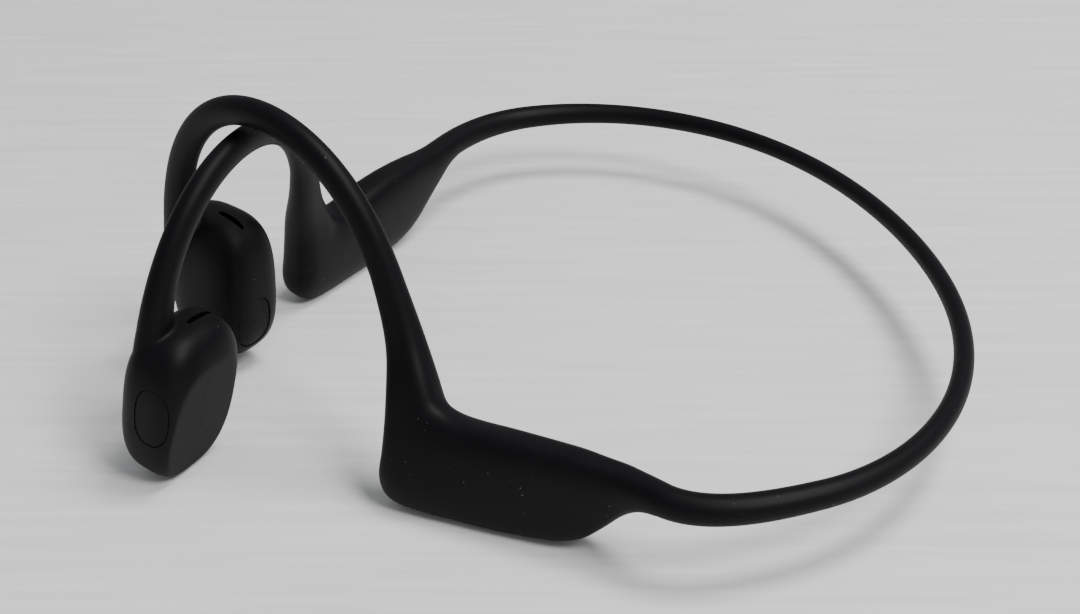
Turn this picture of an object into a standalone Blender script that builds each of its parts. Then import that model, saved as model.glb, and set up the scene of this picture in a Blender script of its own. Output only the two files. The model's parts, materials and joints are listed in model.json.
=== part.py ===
"""Bone conduction headphones: neckband, two rear pods, two ear hooks and two earpieces.

Frame: +Z up, the wearer faces -Y, the wearer's left is +X.  The table is z = 0.
All dimensions below are millimetres; the mesh is written in metres.
The two hooks rest crossed: the left one passes over the right one.
"""
import math

import bmesh
import bpy
from mathutils import Matrix, Vector

# ---- neckband: plan radius R(t) = LOOP_R (1 + LOOP_R2 t^2 + LOOP_R4 t^4), t from the rear centre
LOOP_R = 63.7
LOOP_R2 = 0.2256
LOOP_R4 = -0.0807
LOOP_END_DEG = 100.0
BAND_HEIGHT = 15.9
BAND_TILT = -1.6
BAND_SAG = 0.9
BAND_D = 3.36
BAND_FLARE = 0.475
BAND_FLARE_FROM = 0.527
BAND_JOIN_DEG = 78.0
NECK_HALF = 2.6

# ---- arms: a local frame (u forward, o outward, w up) at each end of the neckband
TOE_IN_DEG = 49.1
PIVOT_HEIGHT = 12.0
ARM_YAW_DEG = {1: 7.2, -1: -7.2}
ARM_LEAN_DEG = {1: -3.8, -1: 12.4}
ARM_PITCH_DEG = {1: 2.5, -1: -0.1}
POD_FLARE = {1: 0.234, -1: 0.072}
POD_LEAN = {1: 0.36, -1: 0.0}
POD_TOP_LIFT = {1: 0.0, -1: 1.2}
POD_LEAN_LEVEL = 6.8
POD_LEAN_AT = 38.4

# ---- ear hook: a curve whose curvature is given at five equally spaced stations
HOOK_ROOT = (42.5, 20.9)
HOOK_ROOT_ANGLE = 1.356
HOOK_LENGTH = {1: 113.8, -1: 108.9}
HOOK_TURN = (0.04, 4.36, 5.37, 1.41, 3.48)
HOOK_BEND = {1: (-3.5, 1.5), -1: (-9.8, 0.7)}
HOOK_ROOT_SHIFT = (-3.9, 3.0)
HOOK_ROOT_BLEND = 0.1
HOOK_HALF_WIDTH = 2.45
HOOK_HALF_THICK = 2.05
HOOK_SEGMENTS = 60

# ---- walls, bores and clearances
GAP = 0.3
WALL = 1.1
BORE_A = 1.2
BORE_T = 0.75
WIRE_R = 0.4
CABLE_R = 0.28

# ---- how the finished object lies: tilt about X and Y, then the shift that centres it on the table
REST_TILT_DEG = (-0.18, 0.14)
REST_SHIFT = (-0.145, 7.12, -1.88)

RING = 16
TUBE_SIDES = 12
POD_SIDES = 9
BODY_SIDES = 20
SIDES = (("left", 1), ("right", -1))
M = 0.001
TILT_X = Matrix.Rotation(math.radians(REST_TILT_DEG[0]), 4, "X")
TILT_Y = Matrix.Rotation(math.radians(REST_TILT_DEG[1]), 4, "Y")
REST = Matrix.Translation(REST_SHIFT) @ TILT_Y @ TILT_X


# ------------------------------------------------------------------ materials
def material(name, rgb, rough, metal=0.0):
    mat = bpy.data.materials.new(name)
    mat.use_nodes = True
    bsdf = mat.node_tree.nodes["Principled BSDF"]
    bsdf.inputs["Base Color"].default_value = (*rgb, 1.0)
    bsdf.inputs["Roughness"].default_value = rough
    bsdf.inputs["Metallic"].default_value = metal
    mat.diffuse_color = (*rgb, 1.0)
    return mat


# ------------------------------------------------------------------ reference curves
def loop_point(t):
    r = LOOP_R * (1 + LOOP_R2 * t**2 + LOOP_R4 * t**4)
    y = r * math.cos(t)
    z = BAND_HEIGHT + BAND_TILT * y / 48 + BAND_SAG * (y / 48) ** 2
    return Vector((r * math.sin(t), y, z))


def band_half(t):
    return BAND_D / 2 * (1 + BAND_FLARE * max(0.0, abs(t) - BAND_FLARE_FROM) ** 2)


ROOT = loop_point(math.radians(LOOP_END_DEG))


def to_world(side, p):
    """Arm coordinates (u, o, w) to the row frame."""
    u, o, w = p[0], p[1], p[2] - PIVOT_HEIGHT
    a = math.radians(ARM_PITCH_DEG[side])
    u, w = u * math.cos(a) - w * math.sin(a), u * math.sin(a) + w * math.cos(a)
    a = math.radians(ARM_LEAN_DEG[side])
    o, w = o * math.cos(a) - w * math.sin(a), o * math.sin(a) + w * math.cos(a)
    h = math.radians(TOE_IN_DEG + ARM_YAW_DEG[side])
    x = ROOT.x - u * math.sin(h) + o * math.cos(h)
    y = ROOT.y - u * math.cos(h) - o * math.sin(h)
    return Vector((side * x, y, w + PIVOT_HEIGHT))


def arm_frame(side, p):
    """Matrix whose axes are the arm's u, o, w directions, placed at p."""
    c = to_world(side, p)
    cols = []
    for d in ((1, 0, 0), (0, 1, 0), (0, 0, 1)):
        cols.append(to_world(side, [p[i] + d[i] for i in range(3)]) - c)
    m = Matrix.Identity(4)
    for j, col in enumerate(cols):
        for i in range(3):
            m[i][j] = col[i]
    m.translation = c
    return m


def pod_mid(side, u, w):
    """Outward offset of the pod's middle surface."""
    f = max(u, 0.0)
    return f * POD_FLARE[side] - (w - POD_LEAN_LEVEL) * POD_LEAN[side] * f / POD_LEAN_AT


def hook_curve(side):
    """Centre points (u, o, w) and heading angles of one hook."""
    n = HOOK_SEGMENTS
    u, w = HOOK_ROOT
    phi = HOOK_ROOT_ANGLE
    step = HOOK_LENGTH[side] / n
    pts = []
    for i in range(n + 1):
        s = i / n
        fade = math.exp(-s / HOOK_ROOT_BLEND)
        o = HOOK_BEND[side][0] * s + HOOK_BEND[side][1] * s * s
        pts.append(Vector((u + HOOK_ROOT_SHIFT[0] * fade, o + HOOK_ROOT_SHIFT[1] * fade, w)))
        k = s * (len(HOOK_TURN) - 1)
        j = min(int(k), len(HOOK_TURN) - 2)
        turn = HOOK_TURN[j] + (HOOK_TURN[j + 1] - HOOK_TURN[j]) * (k - j)
        u += step * math.cos(phi - turn / n / 2)
        w += step * math.sin(phi - turn / n / 2)
        phi -= turn / n
    return pts


HOOK = {1: hook_curve(1), -1: hook_curve(-1)}


def hook_at(side, s):
    pts = HOOK[side]
    k = min(max(s, 0.0), 1.0) * HOOK_SEGMENTS
    j = min(int(k), HOOK_SEGMENTS - 1)
    return pts[j].lerp(pts[j + 1], k - j)


def hook_rung(side, s):
    """Front edge, rear edge, half thickness and squareness of the hook at s."""
    d = hook_at(side, s + 0.012) - hook_at(side, s - 0.012)
    front = Vector((d.z, 0.0, -d.x)).normalized()
    a = HOOK_HALF_WIDTH + 1.75 * math.exp(-s / 0.06)
    t = HOOK_HALF_THICK + 1.4 * math.exp(-s / 0.07)
    c = hook_at(side, s)
    return (c + front * a, c - front * a, t, 2.1 + 0.5 * math.exp(-s / 0.06))


# pod outline as rungs: bottom or front edge (u, w), top or rear edge (u, w), half thickness, squareness
POD_RUNGS = (
    ((-7.0, 13.7), (-7.0, 18.9), 2.60, 2.0),
    ((-4.5, 13.2), (-4.6, 18.9), 2.70, 2.1),
    ((-2.2, 12.0), (-2.6, 18.9), 2.85, 2.2),
    ((0.6, 9.6), (0.2, 18.9), 3.10, 2.4),
    ((3.4, 6.6), (3.6, 18.9), 3.40, 2.6),
    ((6.2, 4.0), (7.4, 18.9), 3.70, 2.8),
    ((9.6, 2.5), (11.4, 18.6), 3.95, 3.0),
    ((14.5, 1.8), (15.8, 18.3), 4.10, 3.1),
    ((20.5, 1.4), (20.6, 18.0), 4.20, 3.2),
    ((27.0, 1.3), (25.2, 17.7), 4.20, 3.2),
    ((33.2, 1.3), (28.6, 17.7), 4.20, 3.2),
    ((38.0, 2.0), (30.8, 18.1), 4.15, 3.1),
    ((40.3, 4.6), (32.3, 18.8), 4.05, 3.0),
    ((40.6, 9.2), (33.4, 20.0), 3.90, 2.9),
    ((40.7, 13.2), (34.2, 21.5), 3.75, 2.8),
    ((41.4, 16.6), (35.2, 23.0), 3.60, 2.7),
)

# ---- earpiece body: u forward and o outward from the hook curve's end, w up from the body's foot
BODY_FOOT = {1: -4.8, -1: -0.9}
BODY_HEIGHT = 27.4
BODY_U = {1: (-5.1, -5.4), -1: (-4.8, -6.6)}
BODY_O = {1: -3.3, -1: -1.5}
BODY_LEAN = {1: -0.05, -1: 0.013}
BODY_HALF_U = 10.0
BODY_HALF_O = 6.9
BODY_SQUARE = 3.0
SPLIT = 1.4
VENT_O = 0.4

# ovals on the earpiece: centre measured from the body's own axis, half width and half height
BUTTON = {"o": -1.6, "w": 14.8, "half": (3.0, 5.3)}
GRILLE = {"o": 1.2, "w": 8.4, "half": (3.3, 5.0)}
PAD = {"u": -3.4, "w": 14.8, "half": (4.2, 7.8)}
PLUG_THICK = 0.9
BUTTON_TRAVEL = 0.35
KEY_TRAVEL = 0.4
KEY_LIFT = -0.15
KEY_DEPTH = 1.6


# ------------------------------------------------------------------ mesh helpers
def new_object(name, bm, mat, origin=None):
    """Lay a bmesh given in millimetres on the table; a moving piece gets its own origin."""
    o = REST @ Vector(origin) if origin else Vector((0, 0, 0))
    for v in bm.verts:
        v.co = (REST @ v.co - o) * M
    bm.normal_update()
    bmesh.ops.recalc_face_normals(bm, faces=bm.faces)
    mesh = bpy.data.meshes.new(name)
    bm.to_mesh(mesh)
    bm.free()
    obj = bpy.data.objects.new(name, mesh)
    obj.location = o * M
    bpy.context.scene.collection.objects.link(obj)
    if mat:
        mesh.materials.append(mat)
    else:
        obj.hide_render = True
        obj.display_type = "WIRE"
    return obj


def add_faces(bm, a, b, closed=True):
    n = len(a)
    for i in range(n if closed else n - 1):
        j = (i + 1) % n
        bm.faces.new((a[i], a[j], b[j], b[i]))


def fan(bm, ring):
    c = bm.verts.new(sum((v.co for v in ring), Vector()) / len(ring))
    for i, v in enumerate(ring):
        bm.faces.new((v, ring[(i + 1) % len(ring)], c))


def loft_solid(rings):
    bm = bmesh.new()
    vs = [[bm.verts.new(p) for p in ring] for ring in rings]
    for a, b in zip(vs, vs[1:]):
        add_faces(bm, a, b)
    fan(bm, vs[0])
    fan(bm, vs[-1])
    return bm


def loft_tube(outer, inner, closed=True):
    """Outer and inner rings of equal count; closed=False makes a half shell."""
    bm = bmesh.new()
    vo = [[bm.verts.new(p) for p in ring] for ring in outer]
    vi = [[bm.verts.new(p) for p in ring] for ring in inner]
    for rows in (vo, vi):
        for a, b in zip(rows, rows[1:]):
            add_faces(bm, a, b, closed)
    for k in (0, -1):
        add_faces(bm, vo[k], vi[k], closed)
    if not closed:
        for k in (0, -1):
            for r in range(len(vo) - 1):
                bm.faces.new((vo[r][k], vo[r + 1][k], vi[r + 1][k], vi[r][k]))
    return bm


def power(x, n):
    return math.copysign(abs(x) ** (2.0 / n), x)


def section(centre, along, across, a, t, n, start=0.0, sweep=2 * math.pi, count=RING, closed=True):
    """Superellipse points: a along one axis, t across it."""
    pts = []
    for i in range(count if closed else count + 1):
        q = start + sweep * i / count
        pts.append(centre + along * a * power(math.cos(q), n) + across * t * power(math.sin(q), n))
    return pts


def path_frames(points, ups):
    """Centre, up and side directions along a path of world points."""
    out = []
    for i, p in enumerate(points):
        d = points[min(i + 1, len(points) - 1)] - points[max(i - 1, 0)]
        side = d.cross(ups[i]).normalized()
        out.append((p, side.cross(d).normalized(), side))
    return out


# ------------------------------------------------------------------ paths through the arm
def pod_rungs(side):
    rungs = []
    for f, r, t, n in POD_RUNGS:
        lift = POD_TOP_LIFT[side] * math.sin(math.pi * min(max(r[0] / 34.0, 0.0), 1.0)) ** 2
        pf = Vector((f[0], pod_mid(side, *f), f[1]))
        pr = Vector((r[0], pod_mid(side, *r), r[1] + lift))
        rungs.append((pf, pr, t, n))
    return rungs


def world_rungs(side, rungs):
    """Rungs in the row frame: centre, half length axis, thickness axis, half sizes, squareness."""
    ends = [(to_world(side, f), to_world(side, r), t, n) for f, r, t, n in rungs]
    out = []
    for i, (f, r, t, n) in enumerate(ends):
        j, k = max(i - 1, 0), min(i + 1, len(ends) - 1)
        d = (ends[k][0] + ends[k][1]) - (ends[j][0] + ends[j][1])
        along = (f - r).normalized()
        across = along.cross(d).normalized()
        out.append(((f + r) / 2, along, across, (f - r).length / 2, t, n))
    return out


def arm_rungs(side):
    """All rungs of one arm from the neckband's end to the earpiece's stem."""
    pod = pod_rungs(side)
    first = hook_rung(side, 0.035)
    last = pod[-1]
    mid = []
    for k in (0.35, 0.7):
        mid.append(tuple(last[i] * (1 - k) + first[i] * k for i in range(4)))
    stations = [0.035, 0.055, 0.08, 0.11]
    stations += [0.14 + 0.03 * i for i in range(22)]
    hook = [hook_rung(side, s) for s in stations]
    return pod + mid + hook


def hook_part(side, s0, s1, count):
    return [hook_rung(side, s0 + (s1 - s0) * i / count) for i in range(count + 1)]


def hermite(p0, d0, p1, d1, k):
    """Point at k on the cubic from p0 to p1 with end tangents d0 and d1."""
    a = 2 * k**3 - 3 * k**2 + 1
    b = k**3 - 2 * k**2 + k
    return p0 * a + d0 * b + p1 * (1 - a) + d1 * (k**3 - k**2)


def band_path():
    """World centre points and half sizes of the neckband between the two pods."""
    n = 20
    limit = math.radians(BAND_JOIN_DEG)
    angles = [-limit + 2 * limit * i / n for i in range(n + 1)]
    pts = [loop_point(t) for t in angles]
    sizes = [band_half(t) for t in angles]
    for side in (-1, 1):
        f, r, _, _ = pod_rungs(side)[0]
        neck = to_world(side, (f + r) / 2 - Vector((GAP, 0.0, 0.0)))
        ahead = to_world(side, (f + r) / 2 + Vector((1.0, 0.0, 0.0)))
        start = loop_point(side * limit)
        tangent = (start - loop_point(side * (limit - 0.02))).normalized()
        reach = (neck - start).length
        push = (ahead - neck).normalized() * reach
        for i in range(1, 5):
            k = i / 4
            p = hermite(start, tangent * reach, neck, push, k)
            half = band_half(limit) * (1 - k) + NECK_HALF * k
            pts = pts + [p] if side == 1 else [p] + pts
            sizes = sizes + [half] if side == 1 else [half] + sizes
    return pts, sizes


def rod(name, points, ups, shift, radius, mat, count=8):
    rings = []
    for p, up, side in path_frames(points, ups):
        c = p + up * shift
        rings.append(section(c, up, side, radius, radius, 2.0, count=count))
    return new_object(name, loft_solid(rings), mat)


# ------------------------------------------------------------------ solids for inner pieces
def placed(frame, pts):
    return [frame @ Vector(p) for p in pts]


def rounded_rect(half_a, half_b, n=4.0, count=RING):
    return section(Vector(), Vector((1, 0, 0)), Vector((0, 1, 0)), half_a, half_b, n, count=count)


def prism(frame, half_a, half_b, low, high, n=4.0, count=RING, chamfer=0.0):
    """Superellipse prism in a local frame whose third axis is the extrusion."""
    levels = [(low, 0.0), (high, 0.0)]
    if chamfer:
        levels = [(low, chamfer), (low + chamfer, 0.0), (high - chamfer, 0.0), (high, chamfer)]
    rings = []
    for h, c in levels:
        ring = rounded_rect(half_a - c, half_b - c, n, count)
        rings.append(placed(frame, [(p.x, p.y, h) for p in ring]))
    return loft_solid(rings)


def ring_prism(frame, outer, inner, low, high, count=RING):
    def at(r, h):
        return placed(frame, [(p.x, p.y, h) for p in rounded_rect(r, r, 2.0, count)])
    bm = bmesh.new()
    loops = [at(outer, low), at(outer, high), at(inner, high), at(inner, low)]
    vs = [[bm.verts.new(p) for p in ring] for ring in loops]
    for i in range(4):
        add_faces(bm, vs[i], vs[(i + 1) % 4])
    return bm


def box(frame, low, high, chamfer=0.15):
    half = [(high[i] - low[i]) / 2 for i in range(3)]
    mid = Vector([(high[i] + low[i]) / 2 for i in range(3)])
    bm = bmesh.new()
    bmesh.ops.create_cube(bm, size=1.0)
    for v in bm.verts:
        v.co = Vector([v.co[i] * 2 * half[i] for i in range(3)])
    if chamfer:
        bmesh.ops.bevel(bm, geom=bm.edges[:], offset=chamfer, segments=1, affect="EDGES")
    for v in bm.verts:
        v.co = frame @ (v.co + mid)
    return bm


def boolean(obj, other, operation="DIFFERENCE"):
    mod = obj.modifiers.new(operation.lower(), "BOOLEAN")
    mod.operation = operation
    mod.solver = "EXACT"
    mod.object = other
    return obj


def cutter(name, bm):
    return new_object("cut_" + name, bm, None)


def axes_frame(side, p, first, second, third):
    """Frame at arm point p whose axes are arm directions given as (u, o, w) tuples."""
    base = arm_frame(side, p).to_3x3()
    m = Matrix.Identity(4)
    for j, d in enumerate((first, second, third)):
        col = base @ Vector(d)
        col.normalize()
        for i in range(3):
            m[i][j] = col[i]
    m.translation = to_world(side, p)
    return m


def pod_frame(side, u, w):
    """Frame on the pod's middle surface: x forward, y up, z outward."""
    e = 1.0
    c = Vector((u, pod_mid(side, u, w), w))
    x = (Vector((u + e, pod_mid(side, u + e, w), w)) - c).normalized()
    y = (Vector((u, pod_mid(side, u, w + e), w + e)) - c).normalized()
    z = x.cross(y).normalized()
    z = z if z.y > 0 else -z
    y = (z.cross(x) if z.cross(x).z > 0 else x.cross(z)).normalized()
    return axes_frame(side, c, tuple(x), tuple(y), tuple(z))


# ------------------------------------------------------------------ neckband
SILICONE = material("black_silicone", (0.016, 0.016, 0.018), 0.55)
HOUSING = material("black_housing", (0.020, 0.020, 0.022), 0.45)
PAD_MAT = material("contact_silicone", (0.035, 0.035, 0.038), 0.5)
MESH_MAT = material("speaker_mesh", (0.012, 0.012, 0.013), 0.7, 0.3)
TITANIUM = material("titanium_wire", (0.55, 0.54, 0.52), 0.35, 1.0)
COPPER = material("copper", (0.72, 0.38, 0.22), 0.35, 1.0)
STEEL = material("nickel_steel", (0.62, 0.62, 0.62), 0.3, 1.0)
CABLE = material("cable_insulation", (0.05, 0.05, 0.06), 0.5)
BOARD = material("circuit_board", (0.02, 0.10, 0.05), 0.5)
CHIP = material("chip_package", (0.02, 0.02, 0.02), 0.4)
CELL = material("battery_pouch", (0.55, 0.57, 0.60), 0.4, 0.6)
LENS = material("light_lens", (0.75, 0.76, 0.78), 0.3)


def neckband():
    pts, sizes = band_path()
    ups = [Vector((0, 0, 1))] * len(pts)
    frames = path_frames(pts, ups)
    for side, end in ((-1, 0), (1, -1)):
        _, along, across, _, _, _ = world_rungs(side, pod_rungs(side))[0]
        _, up, out = frames[end]
        along = along if along.dot(up) > 0 else -along
        across = across if across.dot(out) > 0 else -across
        frames[end] = (pts[end], along, across)
    outer, inner = [], []
    for (c, up, out), half in zip(frames, sizes):
        outer.append(section(c, up, out, half, half, 2.0, count=TUBE_SIDES))
        inner.append(section(c, up, out, BORE_A, BORE_T, 2.0, count=TUBE_SIDES))
    new_object("neckband_jacket", loft_tube(outer, inner), SILICONE)
    left = [(r[0], -r[1]) for r in world_rungs(1, pod_rungs(1))[:5]]
    right = [(r[0], -r[1]) for r in world_rungs(-1, pod_rungs(-1))[:5]]
    path = [p for p, _ in reversed(right)] + pts + [p for p, _ in left]
    upv = [u for _, u in reversed(right)] + ups + [u for _, u in left]
    rod("neckband_titanium_wire", path, upv, -0.55, WIRE_R, TITANIUM, 6)
    rod("neckband_signal_cable", path, upv, 0.68, CABLE_R, CABLE, 5)


# ------------------------------------------------------------------ pods
CAVITY = (0, 0, 0, 0.4, 1, 1, 1, 1, 1, 1, 1, 1, 1, 0.8, 0.45, 0.15)


def pod_shells(name, side):
    rungs = world_rungs(side, arm_rungs(side)[:20])
    out = arm_frame(side, (20, 0, 8)).to_3x3() @ Vector((0, 1, 0))
    shells = []
    for label, sign in (("outer", 1), ("inner", -1)):
        outer, inner = [], []
        for i, (c, along, across, a, t, n) in enumerate(rungs):
            across = across if across.dot(out) * sign > 0 else -across
            k = CAVITY[i] if i < len(CAVITY) else 0
            ai = BORE_A + (a - WALL - BORE_A) * k
            ti = BORE_T + (t - WALL - BORE_T) * k
            c = c + across * GAP / 2
            g = GAP / 2
            outer.append(section(c, along, across, a, t - g, n, 0, math.pi, POD_SIDES, False))
            inner.append(section(c, along, across, ai, ti - g, n, 0, math.pi, POD_SIDES, False))
        bm = loft_tube(outer, inner, closed=False)
        shells.append(new_object(f"{name}_pod_{label}_shell", bm, HOUSING))
    return shells


def bottom_frame(side, u):
    """Frame on the pod's bottom edge: x forward, y outward, z pointing down and out."""
    f = pod_frame(side, u, 8.0)
    m = Matrix.Identity(4)
    cols = (f.col[0].to_3d(), f.col[2].to_3d(), -f.col[1].to_3d())
    low = next(r for r in POD_RUNGS if r[0][0] >= u)[0][1]
    for j, col in enumerate(cols):
        for i in range(3):
            m[i][j] = col[i]
    m.translation = f.translation + cols[2] * (8.0 - low)
    return m


def moving(name, bm, mat, frame):
    return new_object(name, bm, mat, frame.translation)


def volume_keys(shells):
    for label, u in (("volume_up", 30.0), ("volume_down", 22.4)):
        f = bottom_frame(-1, u)
        hole = cutter(label, prism(f, 3.0 + GAP, 1.3 + GAP, -2.2, 2.0, 2.6))
        for shell in shells:
            boolean(shell, hole)
        key = prism(f, 3.0, 1.3, -KEY_DEPTH, KEY_LIFT, 2.6, chamfer=0.2)
        moving(f"{label}_key", key, SILICONE, f)
        top = -KEY_DEPTH - KEY_TRAVEL - 0.1
        body = box(f, (-1.4, -1.0, top - 1.1), (1.4, 1.0, top), 0.1)
        new_object(f"{label}_switch", body, CHIP)


def charging_port(shells):
    f = bottom_frame(-1, 13.2)
    hole = cutter("port", prism(f, 4.2 + GAP, 1.4 + GAP, -6.5, 3.0, 5.0))
    for shell in shells:
        boolean(shell, hole)
    outer, inner = [], []
    for h in (-5.6, -0.3):
        outer.append(placed(f, [(p.x, p.y, h) for p in rounded_rect(4.2, 1.4, 5.0)]))
        inner.append(placed(f, [(p.x, p.y, h) for p in rounded_rect(3.9, 1.1, 5.0)]))
    new_object("charging_port_shell", loft_tube(outer, inner), STEEL)
    tongue = box(f, (-3.1, -0.35, -5.6), (3.1, 0.35, -1.2), 0.1)
    new_object("charging_port_tongue", tongue, CHIP)


def status_light(shells):
    f = pod_frame(-1, 34.8, 7.0)
    hole = cutter("light", prism(f, 0.55 + GAP, 0.55 + GAP, 1.0, 8.0, 2.0, 12))
    boolean(shells[0], hole)
    new_object("status_light", prism(f, 0.55, 0.55, 2.4, 3.9, 2.0, 12), LENS)


def pod_contents_left():
    f = pod_frame(1, 20.5, 9.6)
    new_object("battery_cell", box(f, (-10.5, -4.9, -1.9), (10.5, 4.9, 1.9), 0.6), CELL)
    f = pod_frame(1, 34.0, 9.6)
    new_object("battery_board", box(f, (-1.4, -3.6, -0.4), (1.4, 3.6, 0.4), 0.1), BOARD)


def pod_contents_right():
    f = pod_frame(-1, 26.2, 10.2)
    new_object("main_board", box(f, (-7.4, -4.2, -0.4), (7.4, 4.2, 0.4), 0.1), BOARD)
    new_object("radio_chip", box(f, (-5.6, -1.8, 0.7), (-1.6, 2.2, 1.6), 0.1), CHIP)
    new_object("power_chip", box(f, (1.2, -1.4, 0.7), (4.4, 1.8, 1.5), 0.1), CHIP)


# ------------------------------------------------------------------ hooks
def stem_s(side, above):
    """Station on the hook at a distance above the earpiece's crown (negative: inside it)."""
    return 1.0 - (BODY_FOOT[side] + BODY_HEIGHT + above) / HOOK_LENGTH[side]


def hook_sleeve(name, side):
    rungs = world_rungs(side, hook_part(side, 0.058, stem_s(side, 1.5 + GAP), 20))
    outer, inner = [], []
    for c, along, across, a, t, n in rungs:
        outer.append(section(c, along, across, a, t, n, count=TUBE_SIDES))
        inner.append(section(c, along, across, BORE_A, BORE_T, 2.0, count=TUBE_SIDES))
    new_object(f"{name}_hook_sleeve", loft_tube(outer, inner), SILICONE)


def hook_core(name, side):
    pod = [r for r in arm_rungs(side)[13:18]]
    rungs = world_rungs(side, pod + hook_part(side, 0.04, stem_s(side, -4.0), 20))
    pts = [r[0] for r in rungs]
    ups = [r[1] for r in rungs]
    rod(f"{name}_hook_titanium_wire", pts, ups, -0.55, WIRE_R, TITANIUM, 6)
    rod(f"{name}_hook_signal_cable", pts, ups, 0.68, CABLE_R, CABLE, 5)


# ------------------------------------------------------------------ earpieces
def ear_point(side, u, o, w):
    """Point of an earpiece: u, o from the body's own axis, w up from its foot."""
    e = HOOK[side][-1]
    k = w / BODY_HEIGHT
    u += BODY_U[side][0] * (1 - k) + BODY_U[side][1] * k
    o += BODY_O[side] + w * BODY_LEAN[side]
    return Vector((e.x + u, e.y + o, e.z + BODY_FOOT[side] + w))


def ear_frame(side, u, o, w, first, second, third):
    """Frame in the earpiece; its directions lean with the body."""
    k = BODY_LEAN[side]

    def lean(d):
        return (d[0], d[1] + k * d[2], d[2] - k * d[1])

    return axes_frame(side, ear_point(side, u, o, w), lean(first), lean(second), lean(third))


def body_loft(side, inset=0.0, rows=11):
    """The earpiece as one smooth pebble; inset shrinks it evenly."""
    rings = []
    low, high = inset, BODY_HEIGHT - inset
    x, y = Vector((1, 0, 0)), Vector((0, 1, 0))
    for i in range(rows + 1):
        v = -math.cos(math.pi * (0.04 + 0.92 * i / rows))
        k = (1 - abs(v) ** BODY_SQUARE) ** (1 / BODY_SQUARE)
        w = (low + high) / 2 + v * (high - low) / 2
        hu = (BODY_HALF_U - inset) * k * (0.9 + 0.1 * w / BODY_HEIGHT)
        ho = (BODY_HALF_O - inset) * k
        ring = section(Vector((0, 0, w)), x, y, hu, ho, BODY_SQUARE, count=BODY_SIDES)
        rings.append([to_world(side, ear_point(side, *p)) for p in ring])
    return loft_solid(rings)


def whole_frame(side):
    return ear_frame(side, 0, 0, 0, (1, 0, 0), (0, 1, 0), (0, 0, 1))


def skin_plug(name, side, mat, frame, half, origin=None):
    """A flush plate cut from the pebble's own skin inside an oval."""
    obj = new_object(name, body_loft(side), mat, origin)
    boolean(obj, cutter(name + "_in", body_loft(side, PLUG_THICK)))
    keep = cutter(name + "_oval", prism(frame, half[0], half[1], 0.0, 12.0, 2.6, RING))
    return boolean(obj, keep, "INTERSECT")


def oval_hole(obj, name, frame, half):
    hole = cutter(name, prism(frame, half[0] + GAP, half[1] + GAP, 0.0, 12.0, 2.6, RING))
    boolean(obj, hole)


def button_frame(side):
    return ear_frame(side, 3.0, BUTTON["o"], BUTTON["w"], (0, 1, 0), (0, 0, 1), (1, 0, 0))


def grille_frame(side):
    return ear_frame(side, -3.0, GRILLE["o"], GRILLE["w"], (0, 1, 0), (0, 0, 1), (-1, 0, 0))


def pad_frame(side):
    return ear_frame(side, PAD["u"], -1.0, PAD["w"], (1, 0, 0), (0, 0, 1), (0, -1, 0))


def stem(side, a_extra, s0, s1):
    rungs = world_rungs(side, hook_part(side, s0, s1, 6))
    rings = []
    for c, along, across, a, t, n in rungs:
        if a_extra:
            rings.append(section(c, along, across, BORE_A, BORE_T, 2.0, count=TUBE_SIDES))
        else:
            rings.append(section(c, along, across, a, t, n, count=TUBE_SIDES))
    return loft_solid(rings)


def front_housing(name, side):
    obj = new_object(f"{name}_earpiece_front_housing", body_loft(side), HOUSING)
    s0, s1 = stem_s(side, 1.5), stem_s(side, -7.0)
    boolean(obj, cutter(name + "_stem", stem(side, False, s0, s1)), "UNION")
    boolean(obj, cutter(name + "_front_room", body_loft(side, WALL)))
    s0, s1 = stem_s(side, 2.7), stem_s(side, -9.0)
    boolean(obj, cutter(name + "_stem_bore", stem(side, True, s0, s1)))
    rear = box(whole_frame(side), (-40, -30, -20), (SPLIT + GAP / 2, 30, BODY_HEIGHT + 0.4), 0)
    boolean(obj, cutter(name + "_front_cut", rear))
    oval_hole(obj, name + "_button_hole", button_frame(side), BUTTON["half"])
    return obj


def rear_housing(name, side):
    obj = new_object(f"{name}_earpiece_rear_housing", body_loft(side), HOUSING)
    boolean(obj, cutter(name + "_rear_room", body_loft(side, WALL)))
    front = box(whole_frame(side), (SPLIT - GAP / 2, -30, -20), (40, 30, 60), 0)
    boolean(obj, cutter(name + "_rear_cut", front))
    oval_hole(obj, name + "_grille_hole", grille_frame(side), GRILLE["half"])
    oval_hole(obj, name + "_pad_hole", pad_frame(side), PAD["half"])
    slot = ear_frame(side, -3.0, VENT_O, 20.0, (1, 0, 0), (0, 1, 0), (0, 0, 1))
    boolean(obj, cutter(name + "_vent", prism(slot, 2.9, 0.45, 0.0, 14.0, 3.0, 16)))
    return obj


def bone_driver(name, side):
    """Vibration driver behind the contact pad, stacked towards the skin."""
    f = ear_frame(side, PAD["u"], 0.0, PAD["w"], (1, 0, 0), (0, 0, 1), (0, -1, 0))
    new_object(f"{name}_bone_driver_plate", prism(f, 3.2, 4.6, 3.9, 4.4, 2.4), STEEL)
    new_object(f"{name}_bone_driver_coil", ring_prism(f, 3.0, 2.4, 2.3, 3.6), COPPER)
    new_object(f"{name}_bone_driver_magnet", prism(f, 1.9, 1.9, 1.8, 3.6, 2.0), STEEL)
    new_object(f"{name}_bone_driver_yoke", prism(f, 3.2, 3.2, 0.4, 1.5, 2.0), STEEL)


def air_speaker(name, side):
    """Small speaker behind the rear grille."""
    f = ear_frame(side, 0.0, GRILLE["o"], 7.4, (0, 1, 0), (0, 0, 1), (-1, 0, 0))
    new_object(f"{name}_air_speaker_frame", ring_prism(f, 2.6, 2.1, 5.0, 6.6), STEEL)
    new_object(f"{name}_air_speaker_diaphragm", prism(f, 1.8, 1.8, 6.2, 6.5, 2.0), CHIP)
    new_object(f"{name}_air_speaker_magnet", prism(f, 1.7, 1.7, 4.4, 5.8, 2.0), STEEL)


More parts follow.
